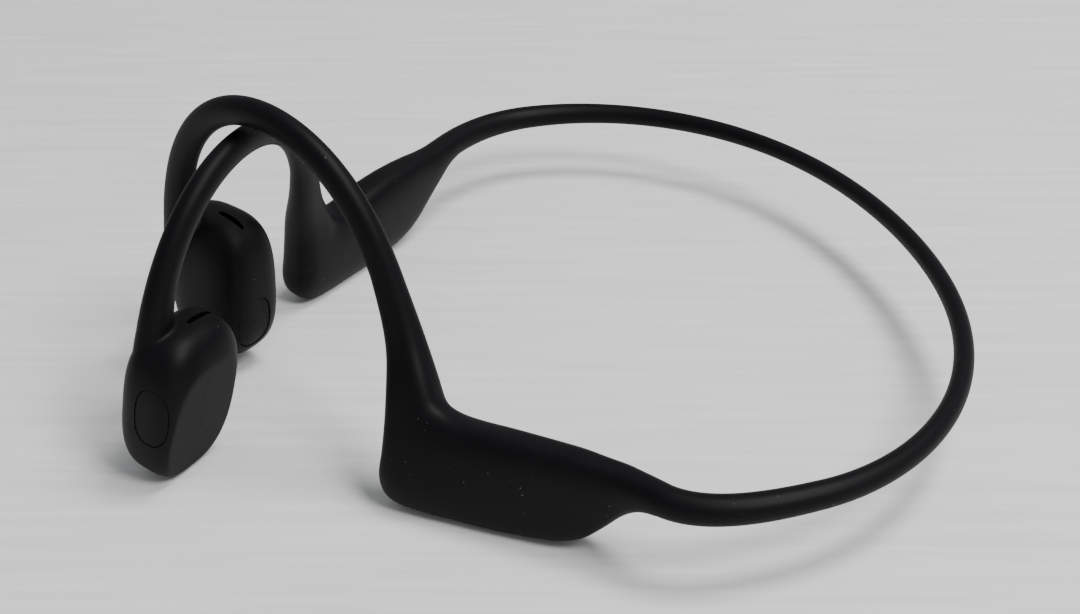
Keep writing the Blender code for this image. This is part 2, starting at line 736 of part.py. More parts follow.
def earpiece(name, side):
    front_housing(name, side)
    rear_housing(name, side)
    skin_plug(f"{name}_contact_pad", side, PAD_MAT, pad_frame(side), PAD["half"])
    skin_plug(f"{name}_speaker_grille", side, MESH_MAT, grille_frame(side), GRILLE["half"])
    bone_driver(name, side)
    air_speaker(name, side)
    f = ear_frame(side, 0.0, 0.0, 0.0, (1, 0, 0), (0, 1, 0), (0, 0, 1))
    new_object(f"{name}_microphone", box(f, (3.2, -1.3, 3.4), (5.2, 1.3, 4.8), 0.1), CHIP)
    new_object(f"{name}_earpiece_board", box(f, (2.2, -3.6, 6.8), (2.8, 1.4, 19.5), 0.1), BOARD)
    if side == 1:
        at = to_world(1, ear_point(1, 9.0, BUTTON["o"], BUTTON["w"]))
        skin_plug("multifunction_button", 1, HOUSING, button_frame(1), BUTTON["half"], at)
        top = BODY_HALF_U - 2.3 - BUTTON_TRAVEL
        switch = box(f, (top - 2.2, -2.9, 13.0), (top, -0.7, 15.6), 0.1)
        new_object("multifunction_switch", switch, CHIP)
    else:
        skin_plug("right_oval_inlay", -1, HOUSING, button_frame(-1), BUTTON["half"])


# ------------------------------------------------------------------ the whole object
def build():
    neckband()
    for name, side in SIDES:
        shells = pod_shells(name, side)
        if side == -1:
            volume_keys(shells)
            charging_port(shells)
            status_light(shells)
        hook_sleeve(name, side)
        hook_core(name, side)
        earpiece(name, side)
    pod_contents_left()
    pod_contents_right()


for old in list(bpy.data.objects):
    bpy.data.objects.remove(old)
build()
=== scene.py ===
"""The looks of the bone conduction headphones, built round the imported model.

Lengths are millimetres in the arms' own frames and metres in the row frame.
Each arm (pod, hook, earpiece) is one soft-skinned shape; the plates, keys and button are separate pieces.
"""
import json
import math

import bmesh
import bpy
from mathutils import Matrix, Vector


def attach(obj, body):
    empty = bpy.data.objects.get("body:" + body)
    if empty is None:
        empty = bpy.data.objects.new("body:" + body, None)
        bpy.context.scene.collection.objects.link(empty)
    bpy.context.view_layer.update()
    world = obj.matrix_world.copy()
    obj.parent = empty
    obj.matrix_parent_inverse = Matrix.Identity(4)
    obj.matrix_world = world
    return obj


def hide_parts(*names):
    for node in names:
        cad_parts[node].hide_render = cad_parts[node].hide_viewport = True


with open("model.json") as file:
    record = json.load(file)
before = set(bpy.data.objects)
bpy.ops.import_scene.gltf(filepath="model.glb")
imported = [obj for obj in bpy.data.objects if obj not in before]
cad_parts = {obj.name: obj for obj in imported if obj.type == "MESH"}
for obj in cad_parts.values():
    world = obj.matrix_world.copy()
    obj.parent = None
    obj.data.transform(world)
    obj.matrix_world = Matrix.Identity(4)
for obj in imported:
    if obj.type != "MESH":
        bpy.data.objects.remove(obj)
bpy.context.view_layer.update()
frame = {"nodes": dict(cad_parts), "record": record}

# ---- neckband
LOOP_R = 63.7
LOOP_R2 = 0.2256
LOOP_R4 = -0.0807
LOOP_END_DEG = 100.0
BAND_HEIGHT = 15.9
BAND_TILT = -1.6
BAND_SAG = 0.9
BAND_D = 3.36
BAND_FLARE = 0.475
BAND_FLARE_FROM = 0.527
BAND_JOIN_DEG = 78.0
NECK_HALF = 2.6

# ---- arms: u forward, o outward, w up, at each end of the neckband
TOE_IN_DEG = 49.1
PIVOT_HEIGHT = 12.0
ARM_YAW_DEG = {1: 7.2, -1: -7.2}
ARM_LEAN_DEG = {1: -3.8, -1: 12.4}
ARM_PITCH_DEG = {1: 2.5, -1: -0.1}
POD_FLARE = {1: 0.234, -1: 0.072}
POD_LEAN = {1: 0.36, -1: 0.0}
POD_TOP_LIFT = {1: 0.0, -1: 1.2}
POD_LEAN_LEVEL = 6.8
POD_LEAN_AT = 38.4
HOOK_ROOT = (42.5, 20.9)
HOOK_ROOT_ANGLE = 1.356
HOOK_LENGTH = {1: 113.8, -1: 108.9}
HOOK_TURN = (0.04, 4.36, 5.37, 1.41, 3.48)
HOOK_BEND = {1: (-3.5, 1.5), -1: (-9.8, 0.7)}
HOOK_ROOT_SHIFT = (-3.9, 3.0)
HOOK_ROOT_BLEND = 0.1
HOOK_HALF_WIDTH = 2.45
HOOK_HALF_THICK = 2.05
HOOK_SEGMENTS = 60
STEM_WEB = 2.6

# pod outline as rungs: bottom or front edge (u, w), top or rear edge (u, w), half thickness, squareness
POD_RUNGS = (
    ((-7.0, 13.7), (-7.0, 18.9), 2.60, 2.0),
    ((-4.5, 13.2), (-4.6, 18.9), 2.70, 2.1),
    ((-2.2, 12.0), (-2.6, 18.9), 2.85, 2.2),
    ((0.6, 9.6), (0.2, 18.9), 3.10, 2.4),
    ((3.4, 6.6), (3.6, 18.9), 3.40, 2.6),
    ((6.2, 4.0), (7.4, 18.9), 3.70, 2.8),
    ((9.6, 2.5), (11.4, 18.6), 3.95, 3.0),
    ((14.5, 1.8), (15.8, 18.3), 4.10, 3.1),
    ((20.5, 1.4), (20.6, 18.0), 4.20, 3.2),
    ((27.0, 1.3), (25.2, 17.7), 4.20, 3.2),
    ((33.2, 1.3), (28.6, 17.7), 4.20, 3.2),
    ((38.0, 2.0), (30.8, 18.1), 4.15, 3.1),
    ((40.3, 4.6), (32.3, 18.8), 4.05, 3.0),
    ((40.6, 9.2), (33.4, 20.0), 3.90, 2.9),
    ((40.7, 13.2), (34.2, 21.5), 3.75, 2.8),
    ((41.4, 16.6), (35.2, 23.0), 3.60, 2.7),
)

# ---- earpiece body, from the hook curve's end
BODY_FOOT = {1: -4.8, -1: -0.9}
BODY_HEIGHT = 27.4
BODY_U = {1: (-5.1, -5.4), -1: (-4.8, -6.6)}
BODY_O = {1: -3.3, -1: -1.5}
BODY_LEAN = {1: -0.05, -1: 0.013}
BODY_HALF_U = 10.0
BODY_HALF_O = 6.9
BODY_SQUARE = 3.0
BUTTON = {"o": -1.6, "w": 14.8, "half": (3.0, 5.3)}
GRILLE = {"o": 1.2, "w": 8.4, "half": (3.3, 5.0)}
PAD = {"u": -3.4, "w": 14.8, "half": (4.2, 7.8)}
VENT_O = 0.4
VENT_HALF = (2.9, 0.5)
SEAM = 0.14
PAD_SEAM = 0.02

# ---- small openings on the right pod's lower edge
KEY_U = {"volume_up": 30.0, "volume_down": 22.4}
KEY_HALF = (3.0, 1.3)
KEY_HOLE_HALF = (3.15, 1.45)
PORT_U = 13.2
PORT_HOLE_HALF = (4.3, 1.5)

# ---- how the object lies on the table
REST_TILT_DEG = (-0.18, 0.14)
REST_SHIFT = (-0.145, 7.12, -1.88)
TILT_X = Matrix.Rotation(math.radians(REST_TILT_DEG[0]), 4, "X")
TILT_Y = Matrix.Rotation(math.radians(REST_TILT_DEG[1]), 4, "Y")
REST = Matrix.Translation(REST_SHIFT) @ TILT_Y @ TILT_X

# ---- camera, lights and table
VIEW_AZ_DEG = 73.90
VIEW_EL_DEG = 30.20
VIEW_ROLL_DEG = -2.455
VIEW_FROM_MM = (286.4, -80.9, 184.7)
LENS_MM = 65.62
TABLE_GAP = 0.0001

SIDES = (("left", 1), ("right", -1))
TUBE_SIDES = 40
ARM_SIDES = 56
FINE = 5
M = 0.001


# ------------------------------------------------------------------ materials
class Nodes:
    """A material's node tree with short ways to add nodes."""

    def __init__(self, name):
        self.mat = bpy.data.materials.new(name)
        self.mat.use_nodes = True
        self.tree = self.mat.node_tree
        self.bsdf = self.tree.nodes["Principled BSDF"]
        self.coord = self.tree.nodes.new("ShaderNodeTexCoord").outputs["Object"]

    def link(self, a, b):
        self.tree.links.new(a, b)

    def noise(self, scale, detail=3.0, rough=0.55):
        node = self.tree.nodes.new("ShaderNodeTexNoise")
        node.inputs["Scale"].default_value = scale
        node.inputs["Detail"].default_value = detail
        node.inputs["Roughness"].default_value = rough
        self.link(self.coord, node.inputs["Vector"])
        return node.outputs["Fac"]

    def ramp(self, source, stops):
        node = self.tree.nodes.new("ShaderNodeValToRGB")
        while len(node.color_ramp.elements) < len(stops):
            node.color_ramp.elements.new(0.5)
        for element, (at, rgb) in zip(node.color_ramp.elements, stops):
            element.position = at
            element.color = (*rgb, 1.0)
        self.link(source, node.inputs["Fac"])
        return node.outputs["Color"]

    def spread(self, source, low, high):
        node = self.tree.nodes.new("ShaderNodeMapRange")
        node.inputs["To Min"].default_value = low
        node.inputs["To Max"].default_value = high
        self.link(source, node.inputs["Value"])
        return node.outputs["Result"]

    def bump(self, source, strength, distance, under=None):
        node = self.tree.nodes.new("ShaderNodeBump")
        node.inputs["Strength"].default_value = strength
        node.inputs["Distance"].default_value = distance
        self.link(source, node.inputs["Height"])
        if under:
            self.link(under, node.inputs["Normal"])
        return node.outputs["Normal"]


def grey(v, blue=1.0):
    return (v, v, v * blue)


def soft_black(name, tone, rough, grain, dust=True):
    """Moulded black skin: faint mottling, fine grain and a few pale specks of dust."""
    n = Nodes(name)
    cloud = n.noise(120.0)
    base = n.ramp(cloud, ((0.3, grey(tone * 0.86, 1.3)), (0.75, grey(tone * 1.16, 1.3))))
    if dust:
        specks = n.noise(1500.0, 1.0, 0.4)
        mask = n.ramp(specks, ((0.80, (0, 0, 0)), (0.84, (1, 1, 1))))
        mix = n.tree.nodes.new("ShaderNodeMix")
        mix.data_type = "RGBA"
        n.link(mask, mix.inputs["Factor"])
        n.link(base, mix.inputs[6])
        mix.inputs[7].default_value = (0.10, 0.095, 0.09, 1.0)
        base = mix.outputs[2]
    n.link(base, n.bsdf.inputs["Base Color"])
    n.link(n.spread(n.noise(60.0), rough - 0.05, rough + 0.06), n.bsdf.inputs["Roughness"])
    fine = n.bump(n.noise(2600.0, 2.0), grain, 0.00004)
    n.link(n.bump(n.noise(240.0, 2.0), grain * 0.35, 0.00006, fine), n.bsdf.inputs["Normal"])
    n.bsdf.inputs["Specular IOR Level"].default_value = 0.115
    return n.mat


def mesh_black(name):
    """Acoustic mesh: a fine woven pattern of dark dimples."""
    n = Nodes(name)
    cells = n.tree.nodes.new("ShaderNodeTexVoronoi")
    cells.inputs["Scale"].default_value = 3200.0
    n.link(n.coord, cells.inputs["Vector"])
    dots = cells.outputs["Distance"]
    n.link(n.ramp(dots, ((0.1, grey(0.0015)), (0.5, grey(0.007)))), n.bsdf.inputs["Base Color"])
    n.link(n.bump(dots, 0.8, 0.0001), n.bsdf.inputs["Normal"])
    n.link(n.spread(n.noise(200.0), 0.45, 0.6), n.bsdf.inputs["Roughness"])
    n.bsdf.inputs["Specular IOR Level"].default_value = 0.08
    return n.mat


def metal(name, rgb, rough):
    n = Nodes(name)
    n.bsdf.inputs["Metallic"].default_value = 1.0
    streaks = n.noise(400.0, 2.0)
    dark = tuple(c * 0.85 for c in rgb)
    n.link(n.ramp(streaks, ((0.3, dark), (0.7, rgb))), n.bsdf.inputs["Base Color"])
    n.link(n.spread(streaks, rough - 0.06, rough + 0.08), n.bsdf.inputs["Roughness"])
    return n.mat


def plain(name, rgb, rough):
    n = Nodes(name)
    dark = tuple(c * 0.85 for c in rgb)
    n.link(n.ramp(n.noise(300.0), ((0.3, dark), (0.7, rgb))), n.bsdf.inputs["Base Color"])
    n.link(n.spread(n.noise(500.0), rough - 0.05, rough + 0.05), n.bsdf.inputs["Roughness"])
    return n.mat


SKIN = soft_black("black_silicone", 0.0024, 0.50, 0.35)
PLATE = soft_black("satin_black", 0.0018, 0.46, 0.2, dust=False)
PAD_SKIN = soft_black("contact_silicone", 0.0026, 0.50, 0.35)
MESH = mesh_black("speaker_mesh")
INNER = {
    "titanium": metal("titanium", (0.55, 0.54, 0.52), 0.35),
    "copper": metal("copper", (0.72, 0.38, 0.22), 0.35),
    "plated_steel": metal("plated_steel", (0.62, 0.62, 0.62), 0.28),
    "battery_pouch": metal("battery_pouch", (0.55, 0.57, 0.60), 0.4),
    "cable_jacket": plain("cable_jacket", (0.05, 0.05, 0.06), 0.5),
    "circuit_board": plain("circuit_board", (0.02, 0.10, 0.05), 0.45),
    "chip": plain("chip", (0.02, 0.02, 0.02), 0.4),
    "light_lens": plain("light_lens", (0.6, 0.61, 0.63), 0.25),
    "silicone_skin": SKIN,
    "housing": PLATE,
    "contact_skin": PAD_SKIN,
    "speaker_mesh": MESH,
}


# ------------------------------------------------------------------ the object's curves
def loop_point(t):
    r = LOOP_R * (1 + LOOP_R2 * t**2 + LOOP_R4 * t**4)
    y = r * math.cos(t)
    z = BAND_HEIGHT + BAND_TILT * y / 48 + BAND_SAG * (y / 48) ** 2
    return Vector((r * math.sin(t), y, z))


def band_half(t):
    return BAND_D / 2 * (1 + BAND_FLARE * max(0.0, abs(t) - BAND_FLARE_FROM) ** 2)


ROOT = loop_point(math.radians(LOOP_END_DEG))


def to_world(side, p):
    """Arm coordinates (u, o, w) in millimetres, before the object is laid down."""
    u, o, w = p[0], p[1], p[2] - PIVOT_HEIGHT
    a = math.radians(ARM_PITCH_DEG[side])
    u, w = u * math.cos(a) - w * math.sin(a), u * math.sin(a) + w * math.cos(a)
    a = math.radians(ARM_LEAN_DEG[side])
    o, w = o * math.cos(a) - w * math.sin(a), o * math.sin(a) + w * math.cos(a)
    h = math.radians(TOE_IN_DEG + ARM_YAW_DEG[side])
    x = ROOT.x - u * math.sin(h) + o * math.cos(h)
    y = ROOT.y - u * math.cos(h) - o * math.sin(h)
    return Vector((side * x, y, w + PIVOT_HEIGHT))


def pod_mid(side, u, w):
    f = max(u, 0.0)
    return f * POD_FLARE[side] - (w - POD_LEAN_LEVEL) * POD_LEAN[side] * f / POD_LEAN_AT


def hook_curve(side):
    n = HOOK_SEGMENTS
    u, w = HOOK_ROOT
    phi = HOOK_ROOT_ANGLE
    step = HOOK_LENGTH[side] / n
    pts = []
    for i in range(n + 1):
        s = i / n
        fade = math.exp(-s / HOOK_ROOT_BLEND)
        o = HOOK_BEND[side][0] * s + HOOK_BEND[side][1] * s * s
        pts.append(Vector((u + HOOK_ROOT_SHIFT[0] * fade, o + HOOK_ROOT_SHIFT[1] * fade, w)))
        k = s * (len(HOOK_TURN) - 1)
        j = min(int(k), len(HOOK_TURN) - 2)
        turn = HOOK_TURN[j] + (HOOK_TURN[j + 1] - HOOK_TURN[j]) * (k - j)
        u += step * math.cos(phi - turn / n / 2)
        w += step * math.sin(phi - turn / n / 2)
        phi -= turn / n
    return pts


HOOK = {1: hook_curve(1), -1: hook_curve(-1)}


def catmull(a, b, c, d, k):
    return (b * 2 + (c - a) * k + (a * 2 - b * 5 + c * 4 - d) * k**2 + (b * 3 - a - c * 3 + d) * k**3) * 0.5


def hook_at(side, s):
    pts = HOOK[side]
    k = min(max(s, 0.0), 1.0) * HOOK_SEGMENTS
    j = min(int(k), HOOK_SEGMENTS - 1)
    four = [pts[min(max(j + i, 0), HOOK_SEGMENTS)] for i in (-1, 0, 1, 2)]
    return catmull(*four, k - j)


def stem_s(side, above):
    """Station on the hook at a distance above the earpiece's crown."""
    return 1.0 - (BODY_FOOT[side] + BODY_HEIGHT + above) / HOOK_LENGTH[side]


def hook_rung(side, s):
    d = hook_at(side, s + 0.012) - hook_at(side, s - 0.012)
    front = Vector((d.z, 0.0, -d.x)).normalized()
    a = HOOK_HALF_WIDTH + 1.75 * math.exp(-s / 0.06)
    t = HOOK_HALF_THICK + 1.4 * math.exp(-s / 0.07)
    c = hook_at(side, s)
    web = math.exp(-max(stem_s(side, 0.0) - s, 0.0) / 0.055)
    rear = c + front * (a + STEM_WEB * web)
    fore = c - front * (a - 0.2 * STEM_WEB * web)
    return (rear, fore, t + 0.25 * STEM_WEB * web, 2.1 + 0.5 * math.exp(-s / 0.06))


def pod_rungs(side):
    rungs = []
    for f, r, t, n in POD_RUNGS:
        lift = POD_TOP_LIFT[side] * math.sin(math.pi * min(max(r[0] / 34.0, 0.0), 1.0)) ** 2
        pf = Vector((f[0], pod_mid(side, *f), f[1]))
        pr = Vector((r[0], pod_mid(side, *r), r[1] + lift))
        rungs.append((pf, pr, t, n))
    return rungs


def refine(rungs, fine):
    """Smooth rungs between the given ones."""
    out = []
    last = len(rungs) - 1
    for i in range(last):
        four = [rungs[min(max(i + j, 0), last)] for j in (-1, 0, 1, 2)]
        for q in range(fine):
            out.append(tuple(catmull(*[r[m] for r in four], q / fine) for m in range(4)))
    out.append(rungs[-1])
    return out


def arm_rungs(side):
    """Rungs from the neckband's end to just inside the earpiece."""
    pod = pod_rungs(side)
    first = hook_rung(side, 0.035)
    last = pod[-1]
    mid = []
    for k in (0.35, 0.7):
        mid.append(tuple(last[i] * (1 - k) + first[i] * k for i in range(4)))
    end = stem_s(side, 0.8)
    stations = [0.035, 0.055, 0.08, 0.11]
    stations += [0.14 + (end - 0.14) * i / 22 for i in range(23)]
    return soften(refine(pod + mid + [hook_rung(side, s) for s in stations], FINE), 13 * FINE, 22 * FINE, 90)


def soften(rungs, first, last, rounds):
    """Even out a run of rungs, so that pod and hook flow into each other."""
    rungs = list(rungs)
    for _ in range(rounds):
        before = list(rungs)
        for i in range(first, last):
            a, b, c = before[i - 1], before[i], before[i + 1]
            rungs[i] = tuple((a[m] + b[m] * 2 + c[m]) / 4 for m in range(4))
    return rungs


def world_rungs(side, rungs):
    ends = [(to_world(side, f), to_world(side, r), t, n) for f, r, t, n in rungs]
    out = []
    for i, (f, r, t, n) in enumerate(ends):
        j, k = max(i - 1, 0), min(i + 1, len(ends) - 1)
        d = (ends[k][0] + ends[k][1]) - (ends[j][0] + ends[j][1])
        along = (f - r).normalized()
        across = along.cross(d).normalized()
        out.append(((f + r) / 2, along, across, (f - r).length / 2, t, n))
    return out


# ------------------------------------------------------------------ mesh tools
def power(x, n):
    return math.copysign(abs(x) ** (2.0 / n), x)


def section(centre, along, across, a, t, n, count):
    """Superellipse ring: a along one axis, t across it."""
    pts = []
    for i in range(count):
        q = 2 * math.pi * i / count
        pts.append(centre + along * a * power(math.cos(q), n) + across * t * power(math.sin(q), n))
    return pts


def loft(rings):
    """Closed solid through rings of equal count."""
    bm = bmesh.new()
    vs = [[bm.verts.new(p) for p in ring] for ring in rings]
    for a, b in zip(vs, vs[1:]):
        for i in range(len(a)):
            j = (i + 1) % len(a)
            bm.faces.new((a[i], a[j], b[j], b[i]))
    for ring in (vs[0], vs[-1]):
        centre = bm.verts.new(sum((v.co for v in ring), Vector()) / len(ring))
        for i, v in enumerate(ring):
            bm.faces.new((v, ring[(i + 1) % len(ring)], centre))
    return bm


def to_object(name, bm, mat=None):
    """Lay a bmesh in millimetres down in the row frame; without a material it is a Boolean tool."""
    for v in bm.verts:
        v.co = (REST @ v.co) * M
    bm.normal_update()
    bmesh.ops.recalc_face_normals(bm, faces=bm.faces)
    mesh = bpy.data.meshes.new(name)
    bm.to_mesh(mesh)
    bm.free()
    obj = bpy.data.objects.new(name, mesh)
    bpy.context.scene.collection.objects.link(obj)
    if mat:
        mesh.materials.append(mat)
    return obj


def modify(obj, kind, **settings):
    mod = obj.modifiers.new(kind.lower(), kind)
    for key, value in settings.items():
        setattr(mod, key, value)
    return obj


def bake(obj):
    """Turn the modifiers into mesh."""
    depsgraph = bpy.context.evaluated_depsgraph_get()
    mesh = bpy.data.meshes.new_from_object(obj.evaluated_get(depsgraph))
    obj.modifiers.clear()
    obj.data = mesh
    return obj


def combine(obj, tool, operation="DIFFERENCE"):
    """Boolean with a tool object, which is then removed."""
    modify(obj, "BOOLEAN", object=tool, operation=operation, solver="EXACT")
    bake(obj)
    bpy.data.objects.remove(tool)
    return obj


def smooth(obj, angle=38.0):
    obj.data.shade_smooth()
    obj.data.set_sharp_from_angle(angle=math.radians(angle))
    return obj


def copy_of(obj, name, mat):
    twin = bpy.data.objects.new(name, obj.data.copy())
    bpy.context.scene.collection.objects.link(twin)
    twin.data.materials.clear()
    twin.data.materials.append(mat)
    return twin


def show(obj, body, slot, *nodes):
    """Attach a finished piece to its body and hide the CAD nodes it stands in for."""
    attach(obj, body)
    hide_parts(*nodes)
    return obj


# ------------------------------------------------------------------ frames for the oval plates
def arm_axes(side, p, first, second, third):
    """Frame at arm point p whose axes are arm directions."""
    base = to_world(side, p)
    m = Matrix.Identity(4)
    for j, d in enumerate((first, second, third)):
        col = (to_world(side, [p[i] + d[i] for i in range(3)]) - base).normalized()
        for i in range(3):
            m[i][j] = col[i]
    m.translation = base
    return m


def ear_point(side, u, o, w):
    e = HOOK[side][-1]
    k = w / BODY_HEIGHT
    u += BODY_U[side][0] * (1 - k) + BODY_U[side][1] * k
    o += BODY_O[side] + w * BODY_LEAN[side]
    return Vector((e.x + u, e.y + o, e.z + BODY_FOOT[side] + w))


def ear_frame(side, u, o, w, first, second, third):
    k = BODY_LEAN[side]

    def lean(d):
        return (d[0], d[1] + k * d[2], d[2] - k * d[1])

    return arm_axes(side, ear_point(side, u, o, w), lean(first), lean(second), lean(third))


def button_frame(side):
    return ear_frame(side, 3.0, BUTTON["o"], BUTTON["w"], (0, 1, 0), (0, 0, 1), (1, 0, 0))


def grille_frame(side):
    return ear_frame(side, -3.0, GRILLE["o"], GRILLE["w"], (0, 1, 0), (0, 0, 1), (-1, 0, 0))


def pad_frame(side):
    return ear_frame(side, PAD["u"], -1.0, PAD["w"], (1, 0, 0), (0, 0, 1), (0, -1, 0))


def prism(f, half_a, half_b, low, high, n=2.6, count=48):
    rings = []
    x, y = Vector((1, 0, 0)), Vector((0, 1, 0))
    for h in (low, high):
        ring = section(Vector((0, 0, h)), x, y, half_a, half_b, n, count)
        rings.append([f @ p for p in ring])
    return loft(rings)


# ------------------------------------------------------------------ neckband
def hermite(p0, d0, p1, d1, k):
    a = 2 * k**3 - 3 * k**2 + 1
    b = k**3 - 2 * k**2 + k
    return p0 * a + d0 * b + p1 * (1 - a) + d1 * (k**3 - k**2)


def neckband():
    """One smooth silicone tube, a touch thicker towards the pods."""
    n = 150
    limit = math.radians(BAND_JOIN_DEG)
    angles = [-limit + 2 * limit * i / n for i in range(n + 1)]
    pts = [loop_point(t) for t in angles]
    sizes = [band_half(t) for t in angles]
    for side in (-1, 1):
        f, r, _, _ = pod_rungs(side)[0]
        neck = to_world(side, (f + r) / 2 + Vector((0.25, 0.0, 0.0)))
        ahead = to_world(side, (f + r) / 2 + Vector((1.5, 0.0, 0.0)))
        start = loop_point(side * limit)
        tangent = (start - loop_point(side * (limit - 0.02))).normalized()
        reach = (neck - start).length
        push = (ahead - neck).normalized() * reach
        for i in range(1, 25):
            k = i / 24
            p = hermite(start, tangent * reach, neck, push, k)
            half = band_half(limit) * (1 - k) + (NECK_HALF - 0.02) * k
            pts = pts + [p] if side == 1 else [p] + pts
            sizes = sizes + [half] if side == 1 else [half] + sizes
    rings = []
    for i, (p, half) in enumerate(zip(pts, sizes)):
        d = pts[min(i + 1, len(pts) - 1)] - pts[max(i - 1, 0)]
        out = d.cross(Vector((0, 0, 1))).normalized()
        rings.append(section(p, out.cross(d).normalized(), out, half, half, 2.0, TUBE_SIDES))
    obj = smooth(to_object("neckband_skin", loft(rings), SKIN))
    show(obj, "headset", "silicone_skin", "neckband_jacket")


# ------------------------------------------------------------------ pods and hooks
def arm_skin(name, side):
    rings = [section(*r, ARM_SIDES) for r in world_rungs(side, arm_rungs(side))]
    return to_object(f"{name}_arm_skin", loft(rings), SKIN)


def bottom_frame(side, u):
    """Frame on the pod's lower edge: x forward, y outward, z out of the pod."""
    level = 8.0
    c = Vector((u, pod_mid(side, u, level), level))
    x = (Vector((u + 1, pod_mid(side, u + 1, level), level)) - c).normalized()
    y = (Vector((u, pod_mid(side, u, level + 1), level + 1)) - c).normalized()
    z = x.cross(y).normalized()
    z = z if z.y > 0 else -z
    y = z.cross(x) if z.cross(x).z > 0 else x.cross(z)
    m = arm_axes(side, c, tuple(x), tuple(z), tuple(-y.normalized()))
    low = next(r for r in POD_RUNGS if r[0][0] >= u)[0][1]
    m.translation = m.translation + m.col[2].to_3d() * (level - low)
    return m


def arms():
    for name, side in SIDES:
        skin = arm_skin(name, side)
        nodes = [f"{name}_pod_outer_shell", f"{name}_pod_inner_shell", f"{name}_hook_sleeve"]
        if side == -1:
            for u in KEY_U.values():
                f = bottom_frame(-1, u)
                combine(skin, to_object("key_hole", prism(f, *KEY_HOLE_HALF, -2.1, 2.0)))
            f = bottom_frame(-1, PORT_U)
            combine(skin, to_object("port_hole", prism(f, *PORT_HOLE_HALF, -5.9, 3.0, 5.0)))
        show(smooth(skin), "headset", "silicone_skin", *nodes)


# ------------------------------------------------------------------ earpieces
FACET = {"normal": (0.0, -1.0, -0.10), "depth": 5.3, "soft": 0.10}


def facet(p):
    """Press a soft-edged flat into the side that meets the cheek."""
    n = Vector(FACET["normal"]).normalized()
    over = (p - Vector((0, 0, BODY_HEIGHT / 2))).dot(n) - FACET["depth"]
    soft = FACET["soft"]
    push = soft * math.log1p(math.exp(min(over / soft, 30.0)))
    return p - n * push


def body_mesh(side):
    rings = []
    x, y = Vector((1, 0, 0)), Vector((0, 1, 0))
    rows = 56
    for i in range(rows + 1):
        v = -math.cos(math.pi * (0.012 + 0.976 * i / rows))
        k = (1 - abs(v) ** BODY_SQUARE) ** (1 / BODY_SQUARE)
        w = BODY_HEIGHT / 2 * (1 + v)
        hu = BODY_HALF_U * k * (0.9 + 0.1 * w / BODY_HEIGHT)
        ring = section(Vector((0, 0, w)), x, y, hu, BODY_HALF_O * k, BODY_SQUARE, 96)
        rings.append([to_world(side, ear_point(side, *facet(p))) for p in ring])
    return loft(rings)


def stem_mesh(side):
    rungs = []
    for i in range(13):
        s = stem_s(side, 3.0 - 12.0 * i / 12)
        f, r, t, n = hook_rung(side, s)
        rungs.append((f, r, t, n))
    return loft([section(*r, 48) for r in world_rungs(side, rungs)])


def earpiece_block(name, side):
    """Body and stem grown into one soft shape."""
    bm = body_mesh(side)
    stem = bpy.data.meshes.new("stem")
    loose = stem_mesh(side)
    loose.to_mesh(stem)
    loose.free()
    bm.from_mesh(stem)
    bpy.data.meshes.remove(stem)
    obj = to_object(f"{name}_earpiece_skin", bm, SKIN)
    modify(obj, "REMESH", mode="VOXEL", voxel_size=0.00024)
    modify(obj, "SMOOTH", factor=0.5, iterations=7)
    return bake(obj)


def oval(name, block, f, half, mat, depth, seam=SEAM):
    """A plate cut from the block's own surface and set back by depth."""
    plate = copy_of(block, name, mat)
    tool = to_object("oval_tool", prism(f, half[0] - seam / 2, half[1] - seam / 2, 0.5, 12.0))
    combine(plate, tool, "INTERSECT")
    back = (REST.to_3x3() @ f.col[2].to_3d()).normalized() * (-depth * M)
    plate.data.transform(Matrix.Translation(back))
    return smooth(plate)


def earpiece(name, side):
    block = earpiece_block(name, side)
    body = "headset"
    front = "multifunction_button" if side == 1 else "right_oval_inlay"
    rides = "button" if side == 1 else body
    plate = oval(f"{front}_plate", block, button_frame(side), BUTTON["half"], PLATE, 0.10)
    show(plate, rides, "housing", front)
    grille = oval(f"{name}_grille_mesh", block, grille_frame(side), GRILLE["half"], MESH, 0.16)
    show(grille, body, "speaker_mesh", f"{name}_speaker_grille")
    pad = oval(f"{name}_pad_skin", block, pad_frame(side), PAD["half"], PAD_SKIN, 0.0, PAD_SEAM)
    show(pad, body, "contact_skin", f"{name}_contact_pad")
    for f, half, seam in (
        (button_frame(side), BUTTON["half"], SEAM),
        (grille_frame(side), GRILLE["half"], SEAM),
        (pad_frame(side), PAD["half"], PAD_SEAM),
    ):
        combine(block, to_object("hole", prism(f, half[0] + seam / 2, half[1] + seam / 2, 2.0, 12.0)))
    vent = ear_frame(side, -3.6, VENT_O - 0.5, 20.0, (1, 0, 0), (0, 1, 0), (0, 0, 1))
    combine(block, to_object("vent", prism(vent, *VENT_HALF, 0.0, 14.0, 3.0)))
    nodes = [f"{name}_earpiece_front_housing", f"{name}_earpiece_rear_housing"]
    show(smooth(block), body, "housing", *nodes)


# ------------------------------------------------------------------ keys and inner pieces
def keys():
    """The two soft volume keys, each with a gently domed face."""
    for label, u in KEY_U.items():
        f = bottom_frame(-1, u)
        rings = []
        x, y = Vector((1, 0, 0)), Vector((0, 1, 0))
        for h, inset in ((-1.6, 0.1), (-1.5, 0.0), (-0.5, 0.0), (-0.3, 0.06), (-0.2, 0.18), (-0.16, 0.4)):
            ring = section(Vector((0, 0, h)), x, y, KEY_HALF[0] - inset, KEY_HALF[1] - inset, 2.6, 48)
            rings.append([f @ p for p in ring])
        obj = smooth(to_object(f"{label}_cap", loft(rings), SKIN))
        show(obj, label, "silicone_skin", f"{label}_key")


def dress_inner():
    """CAD pieces that stay as they are get a fine finish from their own slot."""
    slots = {s["node"]: s["material_slot"] for s in frame["record"]["subparts"]}
    for name, obj in frame["nodes"].items():
        obj.data.materials.clear()
        obj.data.materials.append(INNER[slots[name]])
        smooth(obj, 30.0)


